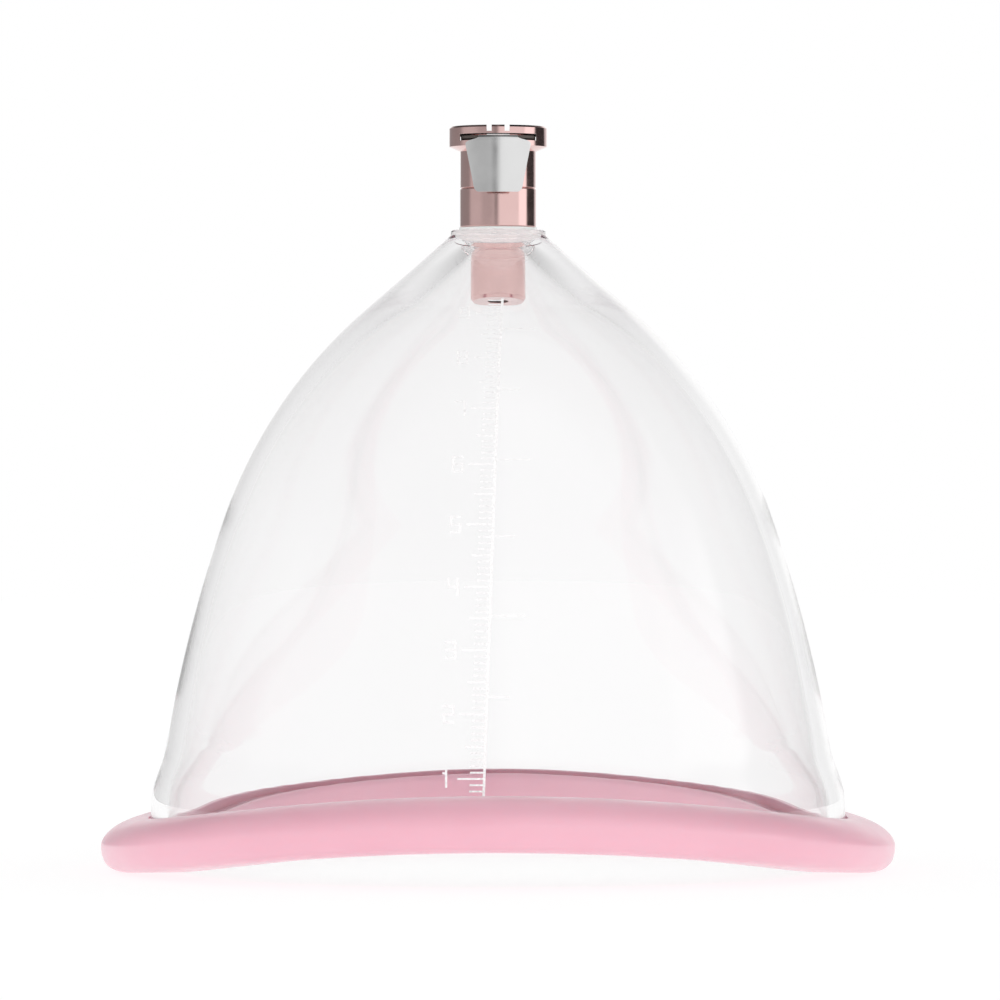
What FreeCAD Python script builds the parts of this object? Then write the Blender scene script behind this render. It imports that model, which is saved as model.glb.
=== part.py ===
"""A vacuum cupping cup: clear bell, silicone rim and quick coupling with a thumb latch and a check valve.

The origin is on the bell's axis, level with the rim's lowest points. +Z points up along the axis and the
thumb latch faces -Y. The rim is saddle shaped: it is lowest at +X and -X, and it rises towards +Y and -Y.
Every outline below lies in the plane of radius and height, in millimetres.
"""

import FreeCAD, Part
import math
import os

os.makedirs("parts", exist_ok=True)

V = FreeCAD.Vector
UP = V(0, 0, 1)
FIT_GAP = 0.03
MARGIN = 1.0

# ---------------------------------------------------------------------------- bell
SADDLE_RISE = 5.72
EDGE_R = 55.48
EDGE_WALL = 2.7
EDGE_INNER_R = EDGE_R - EDGE_WALL
EDGE_TOP_Z = 10.4
EDGE_SEAT = 3.12

NECK_R = 7.59
NECK_TOP_Z = 102.34
NECK_ROUND = 0.42
CONE_TOP_Z = 101.5
CONE_SLOPE = 40.8
SHOULDER_R = 21.32
SHOULDER_ARC = 76.96
WAIST_SLOPE = 71.0
WALL_ARC = 228.8
WALL_SLOPE = 80.0
FLARE_TOP = (53.07, 20.0)
FLARE = (FLARE_TOP, (53.67, 16.6), (EDGE_R, 14.2), (EDGE_R, EDGE_TOP_Z))
FLARE_DROP = 0.3

WALL_KNOTS = ((46.74, 38.69), (41.6, 55.74), (32.8, 73.0))
CEILING_EDGE = (17.6, 88.7)
CEILING_EDGE_SLOPE = 35.6
CEILING_Z = 97.6
PORT_R = 5.15
PORT_THREAD_CLEAR = 0.62

# ---------------------------------------------------------------------------- shank thread (1/8 inch pipe)
THREAD_PITCH = 0.941
THREAD_MAJOR_R = 5.06
THREAD_MINOR_R = 4.45
THREAD_TURNS = 4
THREAD_BOTTOM_Z = 98.38

# ---------------------------------------------------------------------------- rim seal
RIM_OUTER_R = 63.44
RIM_INNER_R = 50.13
RIM_BAND_Z = 4.3
RIM_FOOT_ROUND = 3.95
RIM_LIP_TIP = (56.16, 8.5)
RIM_LIP_ROOT_Z = 7.2
INNER_LIP_Z = 6.66
INNER_LIP_BEND_Z = 4.4
INNER_LIP_LEAN = 0.4

# ---------------------------------------------------------------------------- coupling
WASHER_THICK = 0.42
WASHER_OUTER_R = 6.24
BASE_R = 6.08
BASE_BOTTOM_Z = NECK_TOP_Z + WASHER_THICK
JOINT_Z = 108.99
SHANK_TIP_Z = 91.52
EDGE_BREAK = 0.15

SPIGOT_R = 4.96
SPIGOT_BOTTOM_Z = 105.68
COUNTERBORE_Z = 104.62
VALVE_CHAMBER_R = 3.9
VALVE_CHAMBER_Z = 102.86
SPRING_CHAMBER_R = 2.76
SPRING_FLOOR_Z = 95.68
OUTLET_R = 1.66

BARREL_R = 6.03
HEAD_R = 7.8
HEAD_CHAMFER_Z = 114.92
HEAD_BOTTOM_Z = 115.65
HEAD_TOP_Z = 118.87
WEB_BOTTOM_Z = 107.33
SOCKET_FLOOR_Z = 108.37
WEB_HOLE_R = 1.98
SPIGOT_INNER_R = 4.06
SOCKET_R = 3.33
MOUTH_R = 4.68
MOUTH_Z = 115.86
SEAL_GROOVE_R = 4.68
SEAL_GROOVE_Z = (110.14, 112.01)

# ---------------------------------------------------------------------------- latch
LATCH_TRAVEL = 1.14
SLOT_Z = (116.48, 117.52)
SLOT_HALF_W = 6.08
PLATE_Z = (116.77, 117.23)
PLATE_HALF_W = 5.93
PLATE_R = 7.49
PLATE_BACK_Y = 6.45
PLATE_HOLE_R = 3.74
PLATE_HOLE_Y = -0.99
TAB_INNER_R = 9.05
TAB_OUTER_R = 9.6
TAB_BOTTOM_Z = 108.13
TAB_BEND = 0.94
NOTCH_HALF_W = 1.83
TOOTH_HALF_W = 1.03
SLIT_BRIDGE = 0.35

STOP_PIN_XY = (-4.06, 4.58)
STOP_PIN_R = 0.42
STOP_PIN_Z = (115.65, 118.77)
STOP_SLOT_GAP = 0.05

RELEASE_PIN_Y = 4.11
RELEASE_PIN_R = 0.47
RELEASE_HOLE_R = 0.52
RELEASE_FLOOR_Z = 112.94
RELEASE_PIN_Z = (114.3, 116.43)
RELEASE_POINT = 0.36
PLATE_CATCH_Y = RELEASE_PIN_Y - 0.21
PLATE_CATCH_HALF_W = 0.62

LATCH_SPRING_Z = 113.26
POCKET_R = 1.2
POCKET_FLOOR_Y = -5.15

# ---------------------------------------------------------------------------- valve poppet
POPPET_DISC_R = 3.43
POPPET_DISC_Z = (105.4, 106.39)
POPPET_POST_R = 1.87
POPPET_STEM_R = 1.35
POPPET_STEM_Z = 101.92
POPPET_FIN_R = 1.93
POPPET_FIN_W = 0.73
POPPET_CORE_R = 0.83
POPPET_TIP_Z = 110.03
POPPET_FINS = 3


def point(r, z):
    """A point of an outline: radius along X, height along Z."""
    return V(r, 0, z)


def line(start, end):
    """A straight edge between two (radius, height) points."""
    return Part.LineSegment(point(*start), point(*end)).toShape()


def bezier(*poles):
    """A Bezier edge with these (radius, height) control points."""
    curve = Part.BezierCurve()
    curve.setPoles([point(*p) for p in poles])
    return curve.toShape()


def polyline(points):
    """Straight edges through the points, in order."""
    return [line(a, b) for a, b in zip(points, points[1:])]


def turned(edges):
    """The solid of revolution of a closed outline."""
    wire = Part.Wire(Part.__sortEdges__(edges))
    return Part.Face(wire).revolve(V(0, 0, 0), UP, 360)


def turned_polygon(points):
    """The solid of revolution of a polygon outline."""
    return turned(polyline(list(points) + [points[0]]))


def slope_direction(slope):
    """The unit (radius, height) direction that falls outwards at a slope in degrees."""
    angle = math.radians(slope)
    return math.cos(angle), -math.sin(angle)


def bending_arc(start, slope_from, slope_to, radius):
    """An arc that leaves start at one slope and steepens to another, and its end."""

    def on_arc(slope):
        turn_from = slope_direction(slope_from)
        turn_to = slope_direction(slope)
        return (
            start[0] + radius * (turn_from[1] - turn_to[1]),
            start[1] - radius * (turn_from[0] - turn_to[0]),
        )

    middle = on_arc((slope_from + slope_to) / 2)
    end = on_arc(slope_to)
    return Part.Arc(point(*start), point(*middle), point(*end)).toShape(), end


def cylinder(radius, z_from, z_to, x=0.0, y=0.0):
    """An upright cylinder."""
    return Part.makeCylinder(radius, z_to - z_from, V(x, y, z_from), UP)


def box(x_range, y_range, z_range):
    """An upright box."""
    size = [b - a for a, b in (x_range, y_range, z_range)]
    return Part.makeBox(*size, V(x_range[0], y_range[0], z_range[0]))


def o_ring(major, minor, z):
    """An O-ring lying level about the axis."""
    return Part.makeTorus(major, minor, V(0, 0, z), UP)


def coil(mean_r, wire_r, z_from, z_to, turns):
    """A coil spring that stands on z_from and reaches z_to."""
    length = z_to - z_from - 2 * wire_r
    helix = Part.Wire(Part.makeHelix(length / turns, length, mean_r).Edges)
    section = Part.Wire(Part.makeCircle(wire_r, V(mean_r, 0, 0), V(0, 1, 0)))
    spring = helix.makePipeShell([section], True, True)
    spring.translate(V(0, 0, z_from + wire_r))
    return spring


def thread_outline(gap):
    """The zigzag of the shank's thread from its bottom to its top, enlarged by a gap."""
    points = [(THREAD_MINOR_R + gap, THREAD_BOTTOM_Z)]
    for turn in range(THREAD_TURNS):
        crest_z = THREAD_BOTTOM_Z + (turn + 0.5) * THREAD_PITCH
        points.append((THREAD_MAJOR_R + gap, crest_z))
        points.append((THREAD_MINOR_R + gap, crest_z + THREAD_PITCH / 2))
    return points


# ---------------------------------------------------------------------------- saddle sweep
def saddle_ring(section_edges, radius):
    """Sweep an upright closed section round the axis while it rides up and down the saddle."""
    count = 48
    points = []
    for step in range(count):
        angle = 2 * math.pi * step / count
        rise = SADDLE_RISE * math.sin(angle) ** 2
        points.append(V(radius * math.cos(angle), radius * math.sin(angle), rise))
    spine = Part.BSplineCurve()
    spine.interpolate(Points=points, PeriodicFlag=True)
    sweep = Part.BRepOffsetAPI.MakePipeShell(Part.Wire([spine.toShape()]))
    sweep.setBiNormalMode(UP)
    sweep.add(Part.Wire(Part.__sortEdges__(section_edges)))
    sweep.build()
    sweep.makeSolid()
    return sweep.shape()


def bell_outline():
    """The closed outline of the bell, with its edge carried down past the saddle cut."""
    foot_z = -MARGIN
    cone_top = (NECK_R, CONE_TOP_Z)
    drop = (SHOULDER_R - NECK_R) * math.tan(math.radians(CONE_SLOPE))
    shoulder = (SHOULDER_R, CONE_TOP_Z - drop)
    shoulder_arc, waist = bending_arc(shoulder, CONE_SLOPE, WAIST_SLOPE, SHOULDER_ARC)
    wall_arc, wall_end = bending_arc(waist, WAIST_SLOPE, WALL_SLOPE, WALL_ARC)
    outside = [
        line((NECK_R, NECK_TOP_Z - NECK_ROUND), cone_top),
        line(cone_top, shoulder),
        shoulder_arc,
        wall_arc,
        line(wall_end, FLARE_TOP),
        bezier(*FLARE),
        line((EDGE_R, EDGE_TOP_Z), (EDGE_R, foot_z)),
    ]
    inner_flare = [(r - EDGE_WALL, z - FLARE_DROP) for r, z in FLARE]
    wall_direction = slope_direction(WALL_SLOPE)
    ceiling_direction = slope_direction(CEILING_EDGE_SLOPE)
    inside_wall = Part.BSplineCurve()
    inside_wall.interpolate(
        Points=[point(*knot) for knot in (inner_flare[0], *WALL_KNOTS, CEILING_EDGE)],
        InitialTangent=point(-wall_direction[0], -wall_direction[1]),
        FinalTangent=point(-ceiling_direction[0], -ceiling_direction[1]),
    )
    inside = [
        line((EDGE_R, foot_z), (EDGE_INNER_R, foot_z)),
        line((EDGE_INNER_R, foot_z), inner_flare[-1]),
        bezier(*inner_flare[::-1]),
        inside_wall.toShape(),
        line(CEILING_EDGE, (PORT_R, CEILING_Z)),
    ]
    thread = thread_outline(FIT_GAP)
    port_top = (THREAD_MINOR_R + FIT_GAP, thread[-1][1])
    port = polyline([(PORT_R, CEILING_Z), (PORT_R, THREAD_BOTTOM_Z - PORT_THREAD_CLEAR)] + thread)
    mouth_r = THREAD_MAJOR_R - 0.1
    top = polyline([port_top, (mouth_r, NECK_TOP_Z), (NECK_R - NECK_ROUND, NECK_TOP_Z)])
    quarter = NECK_ROUND * (1 - math.sqrt(0.5))
    neck_round = Part.Arc(
        point(NECK_R - NECK_ROUND, NECK_TOP_Z),
        point(NECK_R - quarter, NECK_TOP_Z - quarter),
        point(NECK_R, NECK_TOP_Z - NECK_ROUND),
    ).toShape()
    return outside + inside + port + top + [neck_round]


def cup_dome():
    """The clear bell, cut along the saddle so that its edge sits on the seal's groove."""
    r_range = (EDGE_INNER_R - MARGIN, EDGE_R + MARGIN)
    z_range = (-SADDLE_RISE - 3 * MARGIN, EDGE_SEAT + FIT_GAP)
    bottom = [(r_range[0], z_range[0]), (r_range[1], z_range[0])]
    top = [(r_range[1], z_range[1]), (r_range[0], z_range[1])]
    below = polyline(bottom + top + bottom[:1])
    return turned(bell_outline()).cut(saddle_ring(below, EDGE_R))


def rim_seal():
    """The silicone rim: a rounded band with a lip outside the bell and one inside it."""
    groove_out = EDGE_R + FIT_GAP
    groove_in = EDGE_INNER_R - FIT_GAP
    band_top = (RIM_OUTER_R, RIM_BAND_Z)
    foot = (RIM_OUTER_R - RIM_FOOT_ROUND, 0)
    inner_lip = (groove_in - INNER_LIP_LEAN, INNER_LIP_Z)
    inner_lip_side = (RIM_INNER_R + 0.21, INNER_LIP_Z - 0.21)
    quarter = RIM_FOOT_ROUND * (1 - math.sqrt(0.5))
    foot_round = Part.Arc(
        point(*foot), point(RIM_OUTER_R - quarter, quarter), point(RIM_OUTER_R, RIM_FOOT_ROUND)
    ).toShape()
    outside = [
        line((RIM_INNER_R + 1.66, 0), foot),
        foot_round,
        line((RIM_OUTER_R, RIM_FOOT_ROUND), band_top),
        bezier(band_top, (RIM_OUTER_R - 0.24, 6.0), (60.3, 8.45), RIM_LIP_TIP),
    ]
    groove = polyline(
        [
            RIM_LIP_TIP,
            (RIM_LIP_TIP[0] + 0.34, RIM_LIP_ROOT_Z + 0.1),
            (groove_out, RIM_LIP_ROOT_Z),
            (groove_out, EDGE_SEAT),
            (groove_in, EDGE_SEAT),
            (groove_in, INNER_LIP_BEND_Z),
            inner_lip,
        ]
    )
    inside = [
        bezier(inner_lip, (inner_lip[0], 7.8), (RIM_INNER_R + 0.94, 8.01), inner_lip_side),
        line(inner_lip_side, (RIM_INNER_R, 1.66)),
        bezier((RIM_INNER_R, 1.66), (RIM_INNER_R, 0.52), (RIM_INNER_R + 0.62, 0), (RIM_INNER_R + 1.66, 0)),
    ]
    return saddle_ring(outside + groove + inside, EDGE_R)


# ---------------------------------------------------------------------------- coupling parts
def neck_washer():
    """The flat washer between the neck and the coupling."""
    outside = cylinder(WASHER_OUTER_R, NECK_TOP_Z, BASE_BOTTOM_Z)
    return outside.cut(cylinder(PORT_R, NECK_TOP_Z, BASE_BOTTOM_Z))


def coupling_base():
    """The coupling's lower half: valve chamber, threaded shank and outlet."""
    tip_chamfer = 0.42
    shank = [(THREAD_MINOR_R, BASE_BOTTOM_Z)] + thread_outline(0)[::-1]
    shank += [
        (THREAD_MINOR_R, SHANK_TIP_Z + tip_chamfer),
        (THREAD_MINOR_R - tip_chamfer, SHANK_TIP_Z),
        (OUTLET_R, SHANK_TIP_Z),
    ]
    chambers = [
        (OUTLET_R, SPRING_FLOOR_Z),
        (SPRING_CHAMBER_R, SPRING_FLOOR_Z),
        (SPRING_CHAMBER_R, VALVE_CHAMBER_Z),
        (VALVE_CHAMBER_R, VALVE_CHAMBER_Z),
        (VALVE_CHAMBER_R, COUNTERBORE_Z),
        (SPIGOT_R + FIT_GAP, COUNTERBORE_Z),
        (SPIGOT_R + FIT_GAP, JOINT_Z),
    ]
    outside = [
        (BASE_R - EDGE_BREAK, JOINT_Z),
        (BASE_R, JOINT_Z - EDGE_BREAK),
        (BASE_R, BASE_BOTTOM_Z + EDGE_BREAK),
        (BASE_R - EDGE_BREAK, BASE_BOTTOM_Z),
    ]
    return turned_polygon(shank + chambers + outside)


def coupling_body():
    """The coupling's upper half: socket, valve seat, latch slot, crown and the holes for springs and pins.

    The crown has a tooth between two slits at the front and a notch at the back.
    """
    lead_in = 0.31
    inside = [
        (SPIGOT_INNER_R, SPIGOT_BOTTOM_Z),
        (SPIGOT_INNER_R, WEB_BOTTOM_Z),
        (WEB_HOLE_R, WEB_BOTTOM_Z),
        (WEB_HOLE_R, SOCKET_FLOOR_Z),
        (SOCKET_R, SOCKET_FLOOR_Z),
        (SOCKET_R, SEAL_GROOVE_Z[0]),
        (SEAL_GROOVE_R, SEAL_GROOVE_Z[0]),
        (SEAL_GROOVE_R, SEAL_GROOVE_Z[1]),
        (SOCKET_R, SEAL_GROOVE_Z[1]),
        (SOCKET_R, MOUTH_Z),
        (MOUTH_R, MOUTH_Z),
        (MOUTH_R, HEAD_TOP_Z - lead_in),
        (MOUTH_R + lead_in, HEAD_TOP_Z),
    ]
    outside = [
        (HEAD_R - lead_in, HEAD_TOP_Z),
        (HEAD_R, HEAD_TOP_Z - lead_in),
        (HEAD_R, HEAD_BOTTOM_Z),
        (BARREL_R, HEAD_CHAMFER_Z),
        (BARREL_R, JOINT_Z + EDGE_BREAK),
        (BARREL_R - EDGE_BREAK, JOINT_Z),
        (SPIGOT_R, JOINT_Z),
        (SPIGOT_R, SPIGOT_BOTTOM_Z),
    ]
    body = turned_polygon(inside + outside)
    through = (-HEAD_R - MARGIN, HEAD_R + MARGIN)
    slot = box((-SLOT_HALF_W, SLOT_HALF_W), through, SLOT_Z)
    back_notch = box((-NOTCH_HALF_W, NOTCH_HALF_W), (0, through[1]), (SLOT_Z[1], HEAD_TOP_Z + MARGIN))
    slits_z = (SLOT_Z[1] + SLIT_BRIDGE, HEAD_TOP_Z + MARGIN)
    front_slits = [
        box(x_range, (through[0], 0), slits_z)
        for x_range in ((-NOTCH_HALF_W, -TOOTH_HALF_W), (TOOTH_HALF_W, NOTCH_HALF_W))
    ]
    pocket = Part.makeCylinder(POCKET_R, HEAD_R, V(0, POCKET_FLOOR_Y, LATCH_SPRING_Z), V(0, -1, 0))
    release_hole = cylinder(RELEASE_HOLE_R, RELEASE_FLOOR_Z, SLOT_Z[0], y=RELEASE_PIN_Y)
    stop_hole = cylinder(STOP_PIN_R, STOP_PIN_Z[0], HEAD_TOP_Z + MARGIN, *STOP_PIN_XY)
    return body.cut([slot, back_notch, pocket, release_hole, stop_hole] + front_slits)


def joint_oring():
    """The seal between the coupling's halves."""
    minor = (SPIGOT_BOTTOM_Z - COUNTERBORE_Z) / 2 - 0.01
    return o_ring(SPIGOT_R - minor, minor, (SPIGOT_BOTTOM_Z + COUNTERBORE_Z) / 2)


def socket_oring():
    """The seal round the insert: it stands a little proud of the socket's wall."""
    minor = 0.81
    return o_ring(SEAL_GROOVE_R - minor - 0.01, minor, sum(SEAL_GROOVE_Z) / 2)


def valve_poppet():
    """The check valve: a disc with a finned tip above it and a spring guide below it."""
    disc = cylinder(POPPET_DISC_R, *POPPET_DISC_Z)
    guide = cylinder(POPPET_STEM_R, POPPET_STEM_Z, POPPET_DISC_Z[0])
    post = cylinder(POPPET_POST_R, POPPET_DISC_Z[1], WEB_BOTTOM_Z)
    core = cylinder(POPPET_CORE_R, WEB_BOTTOM_Z, POPPET_TIP_Z)
    reach = cylinder(POPPET_FIN_R, WEB_BOTTOM_Z, POPPET_TIP_Z - 0.21)
    half = POPPET_FIN_W / 2
    fins = []
    for number in range(POPPET_FINS):
        fin = box((0, POPPET_FIN_R + MARGIN), (-half, half), (WEB_BOTTOM_Z, POPPET_TIP_Z))
        fin.rotate(V(0, 0, 0), UP, 90 + number * 360 / POPPET_FINS)
        fins.append(fin.common(reach))
    return disc.fuse([guide, post, core] + fins).removeSplitter()


def poppet_oring():
    """The seal on the poppet, shut against the web under the socket."""
    minor = (WEB_BOTTOM_Z - POPPET_DISC_Z[1]) / 2 - 0.005
    return o_ring(POPPET_POST_R + minor + 0.01, minor, (WEB_BOTTOM_Z + POPPET_DISC_Z[1]) / 2)


def poppet_spring():
    """The coil that shuts the poppet."""
    return coil(2.18, 0.23, SPRING_FLOOR_Z + 0.01, POPPET_DISC_Z[0] - 0.01, 6)


# ---------------------------------------------------------------------------- latch parts
def latch_plate():
    """The plate in the head's slot, with its hole, its catch for the pin and the stop slot."""
    disc = cylinder(PLATE_R, *PLATE_Z)
    strip = box((-PLATE_HALF_W, PLATE_HALF_W), (-PLATE_R, PLATE_BACK_Y), PLATE_Z)
    hole = cylinder(PLATE_HOLE_R, *PLATE_Z, y=PLATE_HOLE_Y)
    catch = box((-PLATE_CATCH_HALF_W, PLATE_CATCH_HALF_W), (0, PLATE_CATCH_Y), PLATE_Z)
    x, y = STOP_PIN_XY
    half = STOP_PIN_R + STOP_SLOT_GAP
    stop_back = cylinder(half, *PLATE_Z, x, y)
    stop_front = cylinder(half, *PLATE_Z, x, y - LATCH_TRAVEL)
    stop_middle = box((x - half, x + half), (y - LATCH_TRAVEL, y), PLATE_Z)
    return disc.common(strip).cut([hole, catch, stop_back, stop_front, stop_middle])


def thumb_tab():
    """The neck and the bent-down thumb tab, curved about the coupling's axis."""
    bend_z = PLATE_Z[1] - TAB_BEND
    bend_r = TAB_OUTER_R - TAB_BEND
    quarter = TAB_BEND * (1 - math.sqrt(0.5))
    root_r = PLATE_R - 0.62
    bend = Part.Arc(
        point(TAB_OUTER_R, bend_z),
        point(TAB_OUTER_R - quarter, PLATE_Z[1] - quarter),
        point(bend_r, PLATE_Z[1]),
    ).toShape()
    sheet = turned(
        [bend, line((bend_r, PLATE_Z[1]), (root_r, PLATE_Z[1]))]
        + polyline(
            [
                (root_r, PLATE_Z[1]),
                (root_r, PLATE_Z[0]),
                (TAB_INNER_R, PLATE_Z[0]),
                (TAB_INNER_R, TAB_BOTTOM_Z),
                (TAB_OUTER_R, TAB_BOTTOM_Z),
                (TAB_OUTER_R, bend_z),
            ]
        )
    )
    neck_half, wide_half, foot_half, corner_half = 3.12, 5.2, 4.01, 3.02
    neck_z = PLATE_Z[1] - 0.23
    wide_z = PLATE_Z[1] - 1.48
    foot_z = TAB_BOTTOM_Z + 1.59
    above = PLATE_Z[1] + MARGIN
    edges = [
        line((-neck_half, above), (neck_half, above)),
        line((-corner_half, TAB_BOTTOM_Z), (corner_half, TAB_BOTTOM_Z)),
    ]
    for side in (-1, 1):
        neck, wide, foot = side * neck_half, side * wide_half, side * foot_half
        edges += [
            line((neck, above), (neck, neck_z)),
            bezier((neck, neck_z), (neck, neck_z - 0.62), (wide, wide_z + 0.83), (wide, wide_z)),
            line((wide, wide_z), (foot, foot_z)),
            bezier((foot, foot_z), (side * 3.85, TAB_BOTTOM_Z), (side * corner_half, TAB_BOTTOM_Z)),
        ]
    outline = Part.Face(Part.Wire(Part.__sortEdges__(edges)))
    front = outline.extrude(V(0, -TAB_OUTER_R - MARGIN, 0))
    return sheet.common(front)


def thumb_latch():
    """The whole latch, one stamped and bent piece."""
    return latch_plate().fuse(thumb_tab()).removeSplitter()


def latch_spring():
    """The coil between the barrel's pocket and the thumb tab."""
    length = TAB_INNER_R + POCKET_FLOOR_Y - 0.08
    spring = coil(0.88, 0.15, 0, length, 4)
    spring.rotate(V(0, 0, 0), V(1, 0, 0), 90)
    spring.translate(V(0, POCKET_FLOOR_Y - 0.01, LATCH_SPRING_Z))
    return spring


def latch_stop_pin():
    """The pressed pin that keeps the latch plate in its slot."""
    return cylinder(STOP_PIN_R, *STOP_PIN_Z, *STOP_PIN_XY)


def release_pin():
    """The sprung pin that rises in front of the latch plate once the latch is pressed."""
    bottom, top = RELEASE_PIN_Z
    pin = turned_polygon(
        [
            (0, bottom),
            (RELEASE_PIN_R, bottom),
            (RELEASE_PIN_R, top - RELEASE_POINT),
            (RELEASE_PIN_R - RELEASE_POINT, top),
            (0, top),
        ]
    )
    pin.translate(V(0, RELEASE_PIN_Y, 0))
    return pin


def release_spring():
    """The coil under the release pin."""
    spring = coil(0.33, 0.08, RELEASE_FLOOR_Z + 0.01, RELEASE_PIN_Z[0] - 0.01, 4)
    spring.translate(V(0, RELEASE_PIN_Y, 0))
    return spring


PIECES = [
    cup_dome,
    rim_seal,
    neck_washer,
    coupling_base,
    coupling_body,
    joint_oring,
    socket_oring,
    valve_poppet,
    poppet_oring,
    poppet_spring,
    thumb_latch,
    latch_spring,
    latch_stop_pin,
    release_pin,
    release_spring,
]

for make in PIECES:
    shape = make()
    solids = shape.Solids
    if len(solids) != 1 or not shape.isValid():
        raise ValueError(f"{make.__name__} has {len(solids)} solids, valid {shape.isValid()}")
    solids[0].exportStep(f"parts/{make.__name__}.step")
    print(make.__name__, round(solids[0].Volume, 3), "mm3")
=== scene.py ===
"""The looks of a vacuum cupping cup: a clear bell, a silicone rim and a quick coupling with a thumb latch.

Lengths are in millimetres about the bell's axis until they go into a mesh. Meshes, materials, the studio's
camera and the CAD frame are in metres.
"""

import math

import bmesh
import bpy
import numpy as np
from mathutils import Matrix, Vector


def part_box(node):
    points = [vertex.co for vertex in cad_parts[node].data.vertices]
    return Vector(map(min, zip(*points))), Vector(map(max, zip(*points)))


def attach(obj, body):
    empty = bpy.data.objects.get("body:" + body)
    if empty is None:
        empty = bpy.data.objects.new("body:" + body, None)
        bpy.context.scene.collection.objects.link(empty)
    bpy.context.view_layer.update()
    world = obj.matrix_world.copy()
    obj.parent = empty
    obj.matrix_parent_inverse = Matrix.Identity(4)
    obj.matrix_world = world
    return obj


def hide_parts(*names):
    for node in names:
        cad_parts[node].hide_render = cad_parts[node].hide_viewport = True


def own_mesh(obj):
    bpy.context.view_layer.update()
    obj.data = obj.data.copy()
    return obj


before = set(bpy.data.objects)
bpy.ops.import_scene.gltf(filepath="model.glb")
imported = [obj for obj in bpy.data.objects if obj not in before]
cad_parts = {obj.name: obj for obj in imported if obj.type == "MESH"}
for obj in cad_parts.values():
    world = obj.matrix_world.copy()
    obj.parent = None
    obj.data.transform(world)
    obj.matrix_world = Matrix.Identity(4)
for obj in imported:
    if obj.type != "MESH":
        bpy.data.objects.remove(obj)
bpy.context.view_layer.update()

MM = 0.001


def top_z(node):
    """The height of a CAD node's top, in millimetres."""
    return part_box(node)[1].z / MM


# ---------------------------------------------------------------------------- driving dimensions
SADDLE_RISE = 5.72
EDGE_R = 55.48
EDGE_INNER_R = EDGE_R - 2.7
EDGE_TOP_Z = 10.4
EDGE_SEAT = 3.15

NECK_R = 7.59
NECK_TOP_Z = top_z("cup_dome")
NECK_ROUND = 0.42
CONE_TOP_Z = NECK_TOP_Z - 0.84
CONE_SLOPE = 40.8
SHOULDER_R = 21.32
SHOULDER_ARC = 76.96
WAIST_SLOPE = 71.0
WALL_ARC = 228.8
WALL_SLOPE = 80.0
FLARE_TOP = (53.07, 20.0)
FLARE = (FLARE_TOP, (53.67, 16.6), (EDGE_R, 14.2), (EDGE_R, EDGE_TOP_Z))
INNER_FLARE = [(r - EDGE_R + EDGE_INNER_R, z - 0.3) for r, z in FLARE]
INSIDE_KNOTS = (INNER_FLARE[0], (46.74, 38.69), (41.6, 55.74), (32.8, 73.0), (17.6, 88.7))
INSIDE_START = (-0.175, 0.985)
INSIDE_END = (-0.814, 0.582)
CEILING_Z = 97.6
PORT_R = 5.15
PORT_THREAD_CLEAR = 0.62
MOUTH_LIP = 0.13

THREAD_PITCH = 0.941
THREAD_MAJOR_R = 5.09
THREAD_MINOR_R = 4.48
THREAD_TURNS = 4
THREAD_BOTTOM_Z = 98.38

RIM_OUTER_R = 63.42
RIM_INNER_R = 50.13
RIM_BAND_Z = 4.3
RIM_LIP_TIP = (56.16, 8.5)
RIM_FOOT_ROUND = 3.95
RIM_LIP_ROOT_Z = 7.2
INNER_LIP_Z = 6.66
INNER_LIP_BEND_Z = 4.4
INNER_LIP_LEAN = 0.4
GROOVE_FIT = 0.03


# ---------------------------------------------------------------------------- outlines
def bezier(poles, steps=12):
    """Points along a Bezier curve of (radius, height) control points, without its first point."""
    points = []
    for step in range(1, steps + 1):
        t = step / steps
        level = [Vector(p) for p in poles]
        while len(level) > 1:
            level = [a.lerp(b, t) for a, b in zip(level, level[1:])]
        points.append(tuple(level[0]))
    return points


def straight(start, end, steps):
    """Points along a line, without its first point."""
    return [tuple(Vector(start).lerp(Vector(end), (i + 1) / steps)) for i in range(steps)]


def bending_arc(start, slope_from, slope_to, radius, steps):
    """Points along an arc that steepens outwards from one slope to another, without its first point."""
    first = math.radians(slope_from)
    points = []
    for step in range(1, steps + 1):
        angle = math.radians(slope_from + (slope_to - slope_from) * step / steps)
        points.append(
            (
                start[0] + radius * (math.sin(angle) - math.sin(first)),
                start[1] - radius * (math.cos(first) - math.cos(angle)),
            )
        )
    return points


def spline(knots, start_slope, end_slope, steps):
    """Points along the smooth curve through the knots with these end directions, without its first point."""
    knots = np.array(knots)
    spans = np.linalg.norm(np.diff(knots, axis=0), axis=1)
    count = len(knots)
    system = np.zeros((count, count))
    wanted = np.zeros((count, 2))
    system[0, 0] = system[-1, -1] = 1
    wanted[0], wanted[-1] = start_slope, end_slope
    for i in range(1, count - 1):
        before, after = spans[i - 1], spans[i]
        system[i, i - 1 : i + 2] = after, 2 * (before + after), before
        wanted[i] = 3 * (
            after * (knots[i] - knots[i - 1]) / before + before * (knots[i + 1] - knots[i]) / after
        )
    slopes = np.linalg.solve(system, wanted)
    points = []
    for i, span in enumerate(spans):
        for step in range(1, steps + 1):
            t = step / steps
            p = (
                (2 * t**3 - 3 * t**2 + 1) * knots[i]
                + (t**3 - 2 * t**2 + t) * span * slopes[i]
                + (3 * t**2 - 2 * t**3) * knots[i + 1]
                + (t**3 - t**2) * span * slopes[i + 1]
            )
            points.append((float(p[0]), float(p[1])))
    return points


def thread_outline(z_from, major, minor, turns):
    """The zigzag of a thread from its bottom to its top."""
    points = [(minor, z_from)]
    for turn in range(turns):
        crest = z_from + (turn + 0.5) * THREAD_PITCH
        points.append((major, crest))
        points.append((minor, crest + THREAD_PITCH / 2))
    return points


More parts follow.
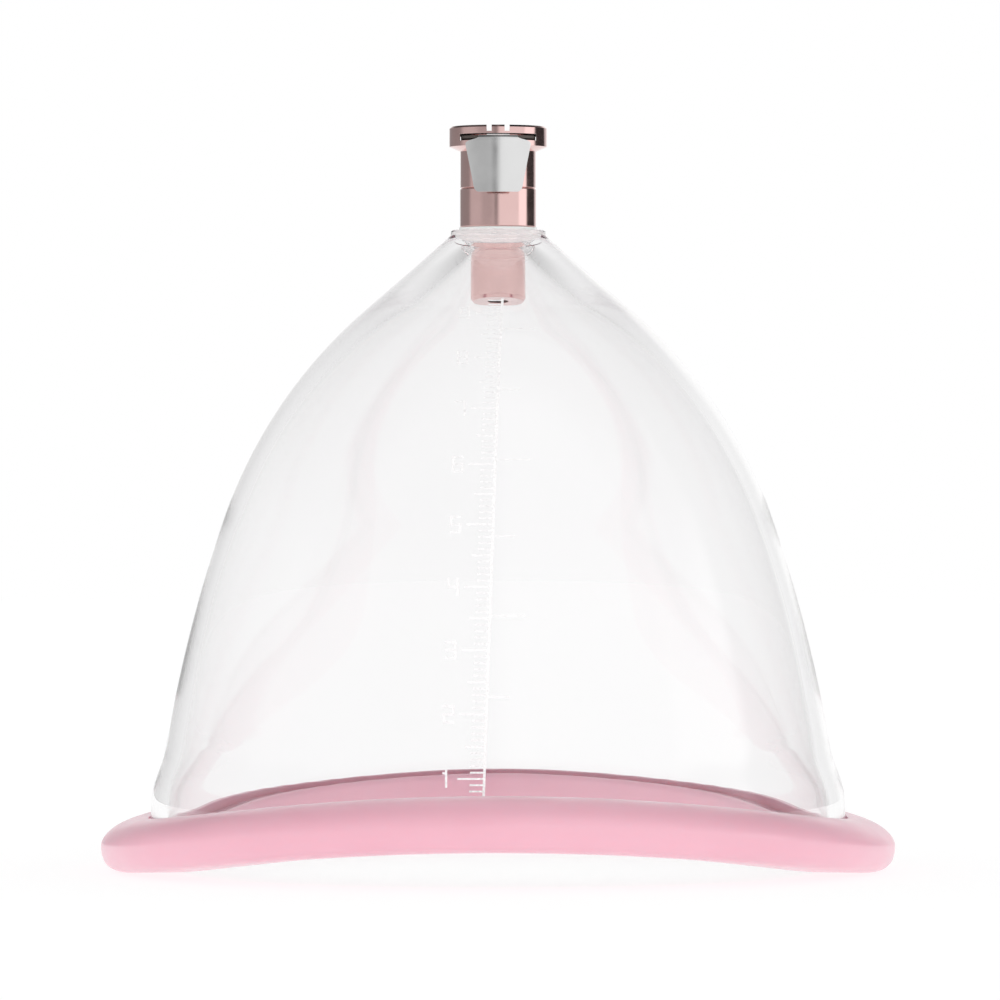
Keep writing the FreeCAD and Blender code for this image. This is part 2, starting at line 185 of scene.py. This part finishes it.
# ---------------------------------------------------------------------------- meshes
def piece_from(name, verts, faces, sharp=30.0, weld=True):
    """A smooth-shaded object from points in millimetres, with its edges sharper than an angle kept sharp."""
    mesh = bpy.data.meshes.new(name)
    mesh.from_pydata([Vector(v) * MM for v in verts], [], faces)
    bm = bmesh.new()
    bm.from_mesh(mesh)
    if weld:
        bmesh.ops.remove_doubles(bm, verts=bm.verts, dist=1e-7)
    bmesh.ops.recalc_face_normals(bm, faces=bm.faces)
    bm.to_mesh(mesh)
    bm.free()
    mesh.shade_smooth()
    mesh.set_sharp_from_angle(angle=math.radians(sharp))
    obj = bpy.data.objects.new(name, mesh)
    bpy.context.scene.collection.objects.link(obj)
    return obj


def saddle(angle):
    """How far the rim and the bell's edge have risen at an angle about the axis."""
    return SADDLE_RISE * math.sin(angle) ** 2


def lathe(name, outline, segments=256, lift=None, sharp=30.0):
    """A closed outline of (radius, height) points turned round the axis, raised by lift(index, angle)."""
    count = len(outline)
    verts, faces = [], []
    for s in range(segments):
        angle = 2 * math.pi * s / segments
        for i, (r, z) in enumerate(outline):
            rise = lift(i, angle) if lift else 0.0
            verts.append((r * math.cos(angle), r * math.sin(angle), z + rise))
    for s in range(segments):
        after = (s + 1) % segments
        for i in range(count):
            j = (i + 1) % count
            faces.append((s * count + i, s * count + j, after * count + j, after * count + i))
    return piece_from(name, verts, faces, sharp)


# ---------------------------------------------------------------------------- the clear bell
def bell_outside():
    """The bell's outer wall from the top of the cone to its foot."""
    cone_top = (NECK_R, CONE_TOP_Z)
    drop = (SHOULDER_R - NECK_R) * math.tan(math.radians(CONE_SLOPE))
    shoulder = (SHOULDER_R, CONE_TOP_Z - drop)
    points = [cone_top] + straight(cone_top, shoulder, 8)
    points += bending_arc(shoulder, CONE_SLOPE, WAIST_SLOPE, SHOULDER_ARC, 24)
    points += bending_arc(points[-1], WAIST_SLOPE, WALL_SLOPE, WALL_ARC, 12)
    points += straight(points[-1], FLARE_TOP, 6)
    points += bezier(FLARE, 16)
    return points


OUTSIDE = bell_outside()


def bell():
    """The clear bell with its saddle-cut foot, solid apex and threaded neck."""
    foot = [(EDGE_R, EDGE_SEAT), (EDGE_INNER_R, EDGE_SEAT)]
    inside = [INNER_FLARE[-1]] + bezier(INNER_FLARE[::-1], 16)
    inside += spline(INSIDE_KNOTS, INSIDE_START, INSIDE_END, 14)
    port = [(PORT_R, CEILING_Z), (PORT_R, THREAD_BOTTOM_Z - PORT_THREAD_CLEAR)]
    thread = thread_outline(THREAD_BOTTOM_Z, THREAD_MAJOR_R, THREAD_MINOR_R, THREAD_TURNS)
    mouth = [(THREAD_MAJOR_R - MOUTH_LIP, NECK_TOP_Z), (NECK_R - NECK_ROUND, NECK_TOP_Z)]
    rim = bezier((mouth[-1], (NECK_R, NECK_TOP_Z), (NECK_R, NECK_TOP_Z - NECK_ROUND)), 5)
    outline = OUTSIDE + foot + inside + port + thread + mouth + rim
    foot_rows = (len(OUTSIDE), len(OUTSIDE) + 1)
    return lathe("bell", outline, 288, lambda i, angle: saddle(angle) if i in foot_rows else 0.0, 24.0)


# ---------------------------------------------------------------------------- the silicone rim
def rim():
    """The soft rim: a band with a lip outside the bell and one inside it."""
    groove_out = EDGE_R + GROOVE_FIT
    groove_in = EDGE_INNER_R - GROOVE_FIT
    seat = EDGE_SEAT - GROOVE_FIT
    band_top = (RIM_OUTER_R, RIM_BAND_Z)
    foot = (RIM_OUTER_R - RIM_FOOT_ROUND, 0)
    corner = (RIM_OUTER_R, 0)
    inner_foot = (RIM_INNER_R + 1.66, 0)
    outline = [inner_foot, foot]
    outline += bezier((foot, corner, (RIM_OUTER_R, RIM_FOOT_ROUND)), 12)
    outline += [band_top]
    outline += bezier((band_top, (RIM_OUTER_R - 0.24, 6.0), (60.3, 8.45), RIM_LIP_TIP), 16)
    outline += bezier((RIM_LIP_TIP, (55.8, 8.52), (56.0, 8.15)), 3)
    outline += [(56.5, RIM_LIP_ROOT_Z + 0.1), (groove_out, RIM_LIP_ROOT_Z), (groove_out, seat)]
    outline += [(groove_in, seat), (groove_in, INNER_LIP_BEND_Z)]
    inner_lip = (groove_in - INNER_LIP_LEAN, INNER_LIP_Z)
    lip_end = (RIM_INNER_R + 0.21, 6.45)
    outline += [inner_lip]
    outline += bezier((inner_lip, (inner_lip[0], 7.8), (RIM_INNER_R + 0.94, 8.01), lip_end), 10)
    outline += [(RIM_INNER_R, 1.66)]
    outline += bezier((outline[-1], (RIM_INNER_R, 0.52), (RIM_INNER_R + 0.62, 0), inner_foot), 8)[:-1]
    return lathe("silicone_rim", outline, 320, lambda i, angle: saddle(angle), 40.0)


# ---------------------------------------------------------------------------- the printed ruler
RULER_FOOT_Z = 13.9
RULER_LENGTH = 86.5
RULER_FOOT_X = -2.2
RULER_TOP_X = 0.7
FIRST_MARK = 3.0
STEM_HALF = 0.2
MARK_HALF = 0.15
INK = 0.03
INK_BELOW = 0.005
INCH = 25.4


def wall_point(arc, x):
    """The radius and height at an arc length up the outer wall, and the angle at which x lies across it."""
    for (r0, z0, s0), (r1, z1, s1) in zip(WALL_UP, WALL_UP[1:]):
        if arc <= s1:
            break
    t = (arc - s0) / (s1 - s0)
    r = r0 + (r1 - r0) * t
    z = z0 + (z1 - z0) * t
    return r, z, math.asin(max(-1, min(1, x / r)))


def measured_wall():
    """The outer wall from just above the rim to the top of the cone, with the arc length at each point."""
    upwards = OUTSIDE[::-1]
    first = next(i for i, (r, z) in enumerate(upwards) if z > RULER_FOOT_Z)
    below, above = Vector(upwards[first - 1]), Vector(upwards[first])
    foot = below.lerp(above, (RULER_FOOT_Z - below.y) / (above.y - below.y))
    rows = [tuple(foot)] + upwards[first:]
    walk = [(*rows[0], 0.0)]
    for a, b in zip(rows, rows[1:]):
        walk.append((*b, walk[-1][2] + math.dist(a, b)))
    return walk


WALL_UP = measured_wall()


def stroke(verts, faces, arc_range, x_range, lean=0.0):
    """A thin raised stroke on the wall, between two arc lengths and two positions across."""
    rows = max(1, round((arc_range[1] - arc_range[0]) / 1.5))
    columns = max(1, round((x_range[1] - x_range[0]) / 1.5))
    grid = {}
    for level, lift in ((0, INK_BELOW), (1, INK)):
        for i in range(rows + 1):
            for j in range(columns + 1):
                arc = arc_range[0] + (arc_range[1] - arc_range[0]) * i / rows
                x = x_range[0] + (x_range[1] - x_range[0]) * j / columns + lean * (i / rows)
                r, z, angle = wall_point(arc, x)
                grid[level, i, j] = len(verts)
                verts.append(((r + lift) * math.sin(angle), -(r + lift) * math.cos(angle), z))
    for i in range(rows):
        for j in range(columns):
            for level in (0, 1):
                faces.append(tuple(grid[level, i + a, j + b] for a, b in ((0, 0), (0, 1), (1, 1), (1, 0))))
    for i in range(rows):
        for j in (0, columns):
            faces.append((grid[0, i, j], grid[0, i + 1, j], grid[1, i + 1, j], grid[1, i, j]))
    for j in range(columns):
        for i in (0, rows):
            faces.append((grid[0, i, j], grid[0, i, j + 1], grid[1, i, j + 1], grid[1, i, j]))


SEGMENTS = {
    "a": ((0, 1), (1, 1)),
    "b": ((1, 0.5), (1, 1)),
    "c": ((1, 0), (1, 0.5)),
    "d": ((0, 0), (1, 0)),
    "e": ((0, 0), (0, 0.5)),
    "f": ((0, 0.5), (0, 1)),
    "g": ((0, 0.5), (1, 0.5)),
    "m": ((0.5, 0), (0.5, 1)),
    "k": ((0.2, 0.85), (0.5, 0.85)),
}
DIGITS = ("", "mk", "abged", "abgcd", "fgbc", "afgcd", "afgedc", "abc", "abcdefg", "abcdfg")
DIGIT_H = 2.5
DIGIT_W = 1.4
LINE_W = 0.34


def digit(verts, faces, number, arc, x):
    """A plain digit, drawn from its strokes, with its middle at an arc length and its right side at x."""
    half = LINE_W / 2
    for letter in DIGITS[number]:
        (x0, y0), (x1, y1) = SEGMENTS[letter]
        xs = sorted((x - DIGIT_W + x0 * DIGIT_W, x - DIGIT_W + x1 * DIGIT_W))
        ys = sorted((arc + (y0 - 0.5) * DIGIT_H, arc + (y1 - 0.5) * DIGIT_H))
        stroke(verts, faces, (ys[0] - half, ys[1] + half), (xs[0] - half, xs[1] + half))


def ruler():
    """The ruler up the front wall: a stem, millimetre marks, centimetre digits and half-inch marks."""
    verts, faces = [], []
    lean = RULER_TOP_X - RULER_FOOT_X

    def stem_x(arc):
        return RULER_FOOT_X + lean * arc / RULER_LENGTH

    stroke(
        verts, faces, (0.0, RULER_LENGTH), (RULER_FOOT_X - STEM_HALF, RULER_FOOT_X + STEM_HALF), lean
    )
    for mark in range(-2, 84):
        arc = FIRST_MARK + mark
        x = stem_x(arc) - STEM_HALF
        reach = 3.9 if mark % 10 == 0 else 2.9 if mark % 5 == 0 else 2.0
        stroke(verts, faces, (arc - MARK_HALF, arc + MARK_HALF), (x - reach, x))
        if mark % 10 == 0:
            digit(verts, faces, mark // 10 + 1, arc, x - 4.9)
    for half_inch in range(1, 7):
        arc = FIRST_MARK + half_inch * INCH / 2
        x = stem_x(arc) + STEM_HALF
        reach = 5.2 if half_inch % 2 == 0 else 3.2
        stroke(verts, faces, (arc - MARK_HALF, arc + MARK_HALF), (x, x + reach))
    return piece_from("printed_ruler", verts, faces, weld=False)


# ---------------------------------------------------------------------------- materials
class Nodes:
    """A short way to make and join shader nodes."""

    def __init__(self, tree):
        self.tree = tree
        tree.nodes.clear()

    def add(self, kind, inputs=None, **settings):
        """A node with its settings and inputs; an input may be a value or another node's output."""
        node = self.tree.nodes.new(kind)
        for key, value in settings.items():
            setattr(node, key, value)
        for key, value in (inputs or {}).items():
            self.put(node.inputs[key], value)
        return node

    def put(self, socket, value):
        if isinstance(value, bpy.types.NodeSocket):
            self.tree.links.new(value, socket)
        else:
            socket.default_value = value

    def math(self, operation, a, b=0.0, c=0.0):
        return self.add("ShaderNodeMath", {0: a, 1: b, 2: c}, operation=operation).outputs[0]

    def ramp(self, value, low, high, to_low=0.0, to_high=1.0):
        """The value eased from one range to another."""
        node = self.add(
            "ShaderNodeMapRange",
            {"Value": value, "From Min": low, "From Max": high, "To Min": to_low, "To Max": to_high},
            interpolation_type="SMOOTHSTEP",
        )
        return node.outputs[0]

    def noise(self, scale, detail=3.0, vector=None):
        where = vector or self.add("ShaderNodeTexCoord").outputs["Object"]
        node = self.add("ShaderNodeTexNoise", {"Vector": where, "Scale": scale, "Detail": detail})
        return node.outputs[0]

    def mix(self, factor, a, b):
        """Two colours mixed by a factor."""
        node = self.add("ShaderNodeMix", data_type="RGBA")
        self.put(node.inputs[0], factor)
        self.put(node.inputs[6], a)
        self.put(node.inputs[7], b)
        return node.outputs[2]

    def bump(self, height, distance, strength=1.0):
        return self.add(
            "ShaderNodeBump", {"Height": height, "Distance": distance, "Strength": strength}
        ).outputs[0]


def material(name):
    """An empty node material and its helper."""
    made = bpy.data.materials.new(name)
    made.use_nodes = True
    return made, Nodes(made.node_tree)


def clear_plastic():
    """Clear hard plastic, a little uneven from moulding, with fine handling marks."""
    made, n = material("clear_plastic")
    ripple = n.noise(35.0, 2.0)
    marks = n.noise(900.0, 2.0)
    shader = n.add(
        "ShaderNodeBsdfPrincipled",
        {
            "Base Color": n.mix(ripple, (0.995, 0.993, 0.994, 1), (0.985, 0.984, 0.986, 1)),
            "Roughness": n.ramp(marks, 0.45, 0.8, 0.0, 0.05),
            "IOR": 1.49,
            "Transmission Weight": 1.0,
            "Normal": n.bump(ripple, 0.0001, 0.25),
        },
    ).outputs[0]
    path = n.add("ShaderNodeLightPath")
    clear = n.add("ShaderNodeBsdfTransparent", {"Color": (0.97, 0.97, 0.97, 1)}).outputs[0]
    mixed = n.add("ShaderNodeMixShader", {0: path.outputs["Is Shadow Ray"], 1: shader, 2: clear}).outputs[0]
    haze = n.add("ShaderNodeVolumeAbsorption", {"Color": (0.90, 0.89, 0.895, 1), "Density": 28.0}).outputs[0]
    n.add("ShaderNodeOutputMaterial", {"Surface": mixed, "Volume": haze})
    return made


def frosted_with_painted_glow():
    """The same plastic where the thread is: frosted, so that its flanks scatter light, and given a painted
    glow as emission.
    """
    made, n = material("threaded_plastic")
    grain = n.noise(1400.0, 3.0)
    shader = n.add(
        "ShaderNodeBsdfPrincipled",
        {
            "Base Color": n.mix(grain, (0.95, 0.93, 0.93, 1), (0.99, 0.98, 0.98, 1)),
            "Roughness": n.ramp(grain, 0.3, 0.7, 0.4, 0.6),
            "IOR": 1.3,
            "Transmission Weight": 0.25,
            # Painted glow: emission that whitens the thread, though no lamp lights it.
            "Emission Color": (1, 0.97, 0.97, 1),
            "Emission Strength": 0.17,
            "Normal": n.bump(grain, 0.00005, 0.4),
        },
    ).outputs[0]
    n.add("ShaderNodeOutputMaterial", {"Surface": shader})
    return made


def silicone(name, deep, light, roughness, glow):
    """Satin silicone: soft light inside it, a fine matt bloom and faint dust."""
    made, n = material(name)
    cloud = n.noise(45.0, 4.0)
    grain = n.noise(2600.0, 2.0)
    shader = n.add(
        "ShaderNodeBsdfPrincipled",
        {
            "Base Color": n.mix(n.ramp(cloud, 0.3, 0.7), deep, light),
            "Roughness": n.ramp(n.noise(160.0), 0.3, 0.7, roughness - 0.06, roughness + 0.08),
            "IOR": 1.41,
            "Subsurface Weight": glow,
            "Subsurface Radius": (1.0, 0.45, 0.5),
            "Subsurface Scale": 0.003,
            "Coat Weight": 0.5,
            "Coat Roughness": 0.16,
            "Normal": n.bump(grain, 0.00003, 0.3),
        },
    ).outputs[0]
    n.add("ShaderNodeOutputMaterial", {"Surface": shader})
    return made


SHANK_SHOULDER = 0.1045
CROWN = 0.1177


def painted_shade_mask(n, where, barrel_r, head_r, head_z):
    """1 on faces that lie deeper than the barrel's or the head's radius, in metres, and 0 elsewhere: it marks
    where shade is painted into the coupling's slots and bores.
    """
    axes = n.add("ShaderNodeSeparateXYZ", {0: where}).outputs
    flat = n.add("ShaderNodeCombineXYZ", {0: axes[0], 1: axes[1]}).outputs[0]
    radius = n.add("ShaderNodeVectorMath", {0: flat}, operation="LENGTH").outputs["Value"]
    in_head = n.math("GREATER_THAN", axes[2], head_z)
    limit = n.math("MULTIPLY_ADD", in_head, head_r - barrel_r, barrel_r)
    depth = n.math("SUBTRACT", limit, radius)
    above_shank = n.math("GREATER_THAN", axes[2], SHANK_SHOULDER)
    below_crown = n.math("LESS_THAN", axes[2], CROWN)
    return n.math("MULTIPLY", n.ramp(depth, 0.0001, 0.0004), n.math("MULTIPLY", above_shank, below_crown))


def metal(name, light, dark, roughness, line_scale, line_depth, along="Z", painted_inner_shade=None):
    """Plated or plain metal with fine tool lines.

    The last argument, if given as (barrel radius, head radius, head height, colour), paints shade on the
    faces that lie inside it: they are darkened to that colour and made rougher.
    """
    made, n = material(name)
    where = n.add("ShaderNodeTexCoord").outputs["Object"]
    stretch = {"Z": (60.0, 60.0, line_scale), "X": (line_scale, 60.0, 60.0)}[along]
    lines_at = n.add("ShaderNodeMapping", {"Vector": where, "Scale": stretch}, vector_type="POINT").outputs[0]
    lines = n.noise(1.0, 3.0, lines_at)
    patches = n.noise(220.0, 3.0, where)
    colour = n.mix(patches, dark, light)
    gloss = n.ramp(patches, 0.3, 0.7, roughness * 0.8, roughness * 1.25)
    # Painted shade: the faces inside the slots and bores are darkened to a near-black colour, and roughened.
    if painted_inner_shade:
        inside = painted_shade_mask(n, where, *painted_inner_shade[:3])
        colour = n.mix(inside, colour, painted_inner_shade[3])
        gloss = n.math("MULTIPLY_ADD", inside, 0.45, gloss)
    shader = n.add(
        "ShaderNodeBsdfPrincipled",
        {
            "Base Color": colour,
            "Metallic": 1.0,
            "Roughness": gloss,
            "Normal": n.bump(lines, line_depth, 0.5),
        },
    ).outputs[0]
    n.add("ShaderNodeOutputMaterial", {"Surface": shader})
    return made


def matt(name, light, dark, roughness, scale, depth):
    """Rubber, moulded plastic or ink: a little uneven in colour, gloss and surface."""
    made, n = material(name)
    grain = n.noise(scale, 4.0)
    shader = n.add(
        "ShaderNodeBsdfPrincipled",
        {
            "Base Color": n.mix(grain, dark, light),
            "Roughness": n.ramp(grain, 0.3, 0.7, roughness - 0.08, roughness + 0.08),
            "Normal": n.bump(grain, depth, 0.4),
        },
    ).outputs[0]
    n.add("ShaderNodeOutputMaterial", {"Surface": shader})
    return made


def thin_ink():
    """White ink, printed so thinly that it lets a little light through, with a faint painted glow that
    whitens it.
    """
    made, n = material("white_ink")
    grain = n.noise(2500.0, 4.0)
    ink = n.add(
        "ShaderNodeBsdfPrincipled",
        {
            "Base Color": n.mix(grain, (0.95, 0.94, 0.94, 1), (0.99, 0.98, 0.98, 1)),
            # Painted glow: a faint emission that makes the ink whiter than its lighting would.
            "Emission Color": (1, 0.98, 0.98, 1),
            "Emission Strength": 0.08,
            "Roughness": n.ramp(grain, 0.3, 0.7, 0.45, 0.6),
            "Normal": n.bump(grain, 0.00001, 0.4),
        },
    ).outputs[0]
    film = n.add("ShaderNodeBsdfTransparent").outputs[0]
    cover = n.ramp(grain, 0.3, 0.7, 0.7, 0.9)
    n.add(
        "ShaderNodeOutputMaterial",
        {"Surface": n.add("ShaderNodeMixShader", {0: cover, 1: film, 2: ink}).outputs[0]},
    )
    return made


CLEAR = clear_plastic()
FROSTED_WITH_PAINTED_GLOW = frosted_with_painted_glow()
PINK = silicone("pink_silicone", (0.85, 0.455, 0.55, 1), (0.88, 0.485, 0.58, 1), 0.4, 0.3)
PALE = silicone("pale_silicone", (0.80, 0.79, 0.78, 1), (0.88, 0.87, 0.86, 1), 0.4, 0.3)
# Painted shade for the faces inside the coupling's slots and bores: radius limits, head height and the dark
# colour painted there.
ROSE_PAINTED_INNER_SHADE = (0.0059, 0.0076, 0.11575, (0.09, 0.065, 0.06, 1))
STEEL_PAINTED_INNER_SHADE = (0.0076, 0.0079, 0.11575, (0.16, 0.14, 0.13, 1))
ROSE = metal(
    "rose_gold", (0.80, 0.56, 0.54, 1), (0.74, 0.50, 0.48, 1), 0.13, 9000.0, 0.000004, "Z", ROSE_PAINTED_INNER_SHADE
)
STEEL = metal(
    "stainless", (0.78, 0.78, 0.78, 1), (0.70, 0.70, 0.70, 1), 0.17, 9000.0, 0.000005, "X", STEEL_PAINTED_INNER_SHADE
)
WIRE = metal("spring_steel", (0.70, 0.70, 0.71, 1), (0.60, 0.60, 0.61, 1), 0.2, 4000.0, 0.000003)
RUBBER = matt("black_rubber", (0.035, 0.035, 0.036, 1), (0.02, 0.02, 0.021, 1), 0.5, 1500.0, 0.00002)
ACETAL = matt("white_plastic", (0.86, 0.86, 0.84, 1), (0.80, 0.80, 0.78, 1), 0.4, 900.0, 0.00001)
PRINT = thin_ink()

NODE_LOOKS = {
    "neck_washer": PALE,
    "coupling_base": ROSE,
    "coupling_body": ROSE,
    "joint_oring": RUBBER,
    "socket_oring": RUBBER,
    "poppet_oring": RUBBER,
    "valve_poppet": ACETAL,
    "poppet_spring": WIRE,
    "latch_spring": WIRE,
    "release_spring": WIRE,
    "latch_stop_pin": WIRE,
    "release_pin": WIRE,
    "thumb_latch": STEEL,
}


def dress(obj, look):
    """Give a piece one material, in every slot that it has."""
    if not obj.data.materials:
        obj.data.materials.append(look)
    for index in range(len(obj.data.materials)):
        obj.material_slots[index].material = look


for node, look in NODE_LOOKS.items():
    dress(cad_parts[node], look)


def harden_normals(mesh, spread=50.0):
    """Let each corner's normal follow the large faces beside it, so that flats stay flat next to bevels."""
    closest = math.cos(math.radians(spread))
    around = {}
    for polygon in mesh.polygons:
        for vertex in polygon.vertices:
            around.setdefault(vertex, []).append(polygon)
    normals = []
    for polygon in mesh.polygons:
        for vertex in polygon.vertices:
            total = Vector((0, 0, 0))
            for other in around[vertex]:
                if other.normal.dot(polygon.normal) > closest:
                    total += other.normal * other.area
            normals.append(total.normalized() if total.length else polygon.normal.copy())
    mesh.normals_split_custom_set(normals)


FLAT_ANGLE = math.radians(0.3)
EDGE_ANGLE = math.radians(35)


def refined(node, name, edge, body):
    """A copy of a CAD piece with its edges broken by a small bevel; it replaces the piece."""
    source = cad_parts[node]
    bm = bmesh.new()
    bm.from_mesh(source.data)
    bmesh.ops.transform(bm, matrix=source.matrix_world, verts=bm.verts)
    bmesh.ops.remove_doubles(bm, verts=bm.verts, dist=1e-7)
    bmesh.ops.dissolve_limit(bm, angle_limit=FLAT_ANGLE, verts=bm.verts, edges=bm.edges)
    sharp = [e for e in bm.edges if len(e.link_faces) == 2 and e.calc_face_angle() > EDGE_ANGLE]
    bmesh.ops.bevel(
        bm,
        geom=sharp,
        offset=edge * MM,
        offset_type="OFFSET",
        affect="EDGES",
        segments=2,
        profile=0.5,
        clamp_overlap=True,
    )
    mesh = bpy.data.meshes.new(name)
    bm.to_mesh(mesh)
    bm.free()
    mesh.shade_smooth()
    harden_normals(mesh)
    obj = bpy.data.objects.new(name, mesh)
    bpy.context.scene.collection.objects.link(obj)
    dress(obj, NODE_LOOKS[node])
    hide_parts(node)
    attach(obj, body)


for node, name, edge, body, slot in (
    ("coupling_body", "socket_half", 0.1, "cup", "rose_gold"),
    ("coupling_base", "shank_half", 0.06, "cup", "rose_gold"),
    ("thumb_latch", "thumb_lever", 0.09, "latch", "stainless"),
):
    refined(node, name, edge, body)


def sprung(node, name):
    """A copy of a coil, with a mesh of its own, in the cup's body; it replaces the CAD coil."""
    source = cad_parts[node]
    obj = bpy.data.objects.new(name, source.data.copy())
    obj.matrix_world = source.matrix_world
    bpy.context.scene.collection.objects.link(obj)
    dress(obj, WIRE)
    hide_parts(node)
    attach(obj, "cup")
    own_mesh(obj)


sprung("latch_spring", "latch_coil")
sprung("poppet_spring", "valve_coil")

clear_bell = bell()
dress(clear_bell, CLEAR)
clear_bell.data.materials.append(FROSTED_WITH_PAINTED_GLOW)
for polygon in clear_bell.data.polygons:
    middle = polygon.center / MM
    threaded = middle.z > THREAD_BOTTOM_Z - 0.3 and math.hypot(middle.x, middle.y) < THREAD_MAJOR_R + 0.05
    if threaded or middle.z > NECK_TOP_Z - 0.01:
        polygon.material_index = 1
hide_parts("cup_dome")
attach(clear_bell, "cup")

soft_rim = rim()
dress(soft_rim, PINK)
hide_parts("rim_seal")
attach(soft_rim, "cup")

printed = ruler()
dress(printed, PRINT)
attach(printed, "cup")


# ---------------------------------------------------------------------------- studio
def floor():
    """A pale table just under the rim. Most of its brightness is its own glow, so shadows are faint."""
    radius, rings, segments, height = 3000.0, 6, 96, -0.05
    verts, faces = [(0, 0, height)], []
    for ring in range(1, rings + 1):
        for s in range(segments):
            angle = 2 * math.pi * s / segments
            r = radius * (ring / rings) ** 2
            verts.append((r * math.cos(angle), r * math.sin(angle), height))
    for s in range(segments):
        after = (s + 1) % segments
        faces.append((0, 1 + s, 1 + after))
        for ring in range(rings - 1):
            a, b = 1 + ring * segments, 1 + (ring + 1) * segments
            faces.append((a + s, b + s, b + after, a + after))
    made, n = material("pale_floor")
    grain = n.noise(400.0, 2.0)
    shader = n.add(
        "ShaderNodeBsdfPrincipled",
        {
            "Base Color": n.mix(grain, (0.29, 0.29, 0.29, 1), (0.31, 0.31, 0.31, 1)),
            "Roughness": 0.9,
            "Specular IOR Level": 0.0,
            "Emission Color": (1, 1, 1, 1),
            "Emission Strength": 0.77,
        },
    ).outputs[0]
    n.add("ShaderNodeOutputMaterial", {"Surface": shader})
    obj = piece_from("floor", verts, faces)
    dress(obj, made)


def studio():
    """A white surround whose brightness differs for the camera, for refracted, reflected and diffuse light.

    Reflections see upright bands, brighter or darker than the rest, and a dim ceiling. The bands' edges
    are angles in degrees about the axis, 0 at the front and 90 at the right.
    """
    world = bpy.data.worlds.new("studio")
    bpy.context.scene.world = world
    world.use_nodes = True
    n = Nodes(world.node_tree)
    direction = n.add("ShaderNodeTexCoord").outputs["Generated"]
    axes = n.add("ShaderNodeSeparateXYZ", {0: direction}).outputs
    turn = n.math("MULTIPLY", n.math("ARCTAN2", axes[0], n.math("MULTIPLY", axes[1], -1.0)), 180 / math.pi)
    path = n.add("ShaderNodeLightPath").outputs

    def band(low, high, soft):
        rising = n.ramp(turn, low - soft, low + soft)
        falling = n.ramp(turn, high - soft, high + soft, 1.0, 0.0)
        return n.math("MULTIPLY", rising, falling)

    level = 0.62
    for low, high, soft, amount in (
        (2.0, 66.0, 5.0, 0.38),
        (66.0, 96.0, 4.0, 0.75),
        (98.0, 142.0, 3.0, -0.58),
        (-11.0, -1.0, 4.0, -0.28),
        (-52.0, -14.0, 10.0, -0.12),
        (-162.0, -95.0, 8.0, -0.3),
        (156.0, 190.0, 6.0, 0.4),
        (-190.0, -170.0, 4.0, 0.4),
    ):
        level = n.math("MULTIPLY_ADD", band(low, high, soft), amount, level)
    high = n.ramp(axes[2], 0.28, 0.5)
    behind = n.ramp(axes[1], -0.45, -0.1)
    ceiling = n.math("MULTIPLY_ADD", n.math("MULTIPLY", high, behind), -0.74, 1.0)
    glossy = n.math("MULTIPLY", level, ceiling)
    through = n.ramp(axes[2], 0.35, 0.8, 1.0, 0.6)
    diffuse = n.ramp(axes[2], 0.1, 0.9, 1.5, 0.55)
    strength = 1.0
    after_diffuse = n.math("MINIMUM", path["Diffuse Depth"], 1.0)
    for chosen, value in (
        (path["Is Glossy Ray"], glossy),
        (path["Is Transmission Ray"], through),
        (after_diffuse, diffuse),
    ):
        step = n.add("ShaderNodeMix", data_type="FLOAT")
        n.put(step.inputs[0], chosen)
        n.put(step.inputs[2], strength)
        n.put(step.inputs[3], value)
        strength = step.outputs[0]
    background = n.add("ShaderNodeBackground", {"Color": (1, 1, 1, 1), "Strength": strength}).outputs[0]
    n.add("ShaderNodeOutputWorld", {"Surface": background})


def camera():
    """A level camera in front, far off with a long lens, as a product photographer would stand."""
    distance, height, across = 1.107, 0.0592, 0.0003
    width_seen = 0.160
    data = bpy.data.cameras.new("camera")
    data.sensor_width = 36.0
    data.lens = data.sensor_width * distance / width_seen
    data.clip_start, data.clip_end = 0.05, 20.0
    obj = bpy.data.objects.new("camera", data)
    obj.location = (across, -distance, height)
    obj.rotation_euler = (math.radians(90), 0, 0)
    bpy.context.scene.collection.objects.link(obj)
    bpy.context.scene.camera = obj


floor()
studio()
camera()
scene = bpy.context.scene
scene.view_settings.view_transform = "Standard"
scene.view_settings.look = "None"
scene.cycles.max_bounces = 40
scene.cycles.glossy_bounces = 24
scene.cycles.transmission_bounces = 32
scene.cycles.transparent_max_bounces = 32
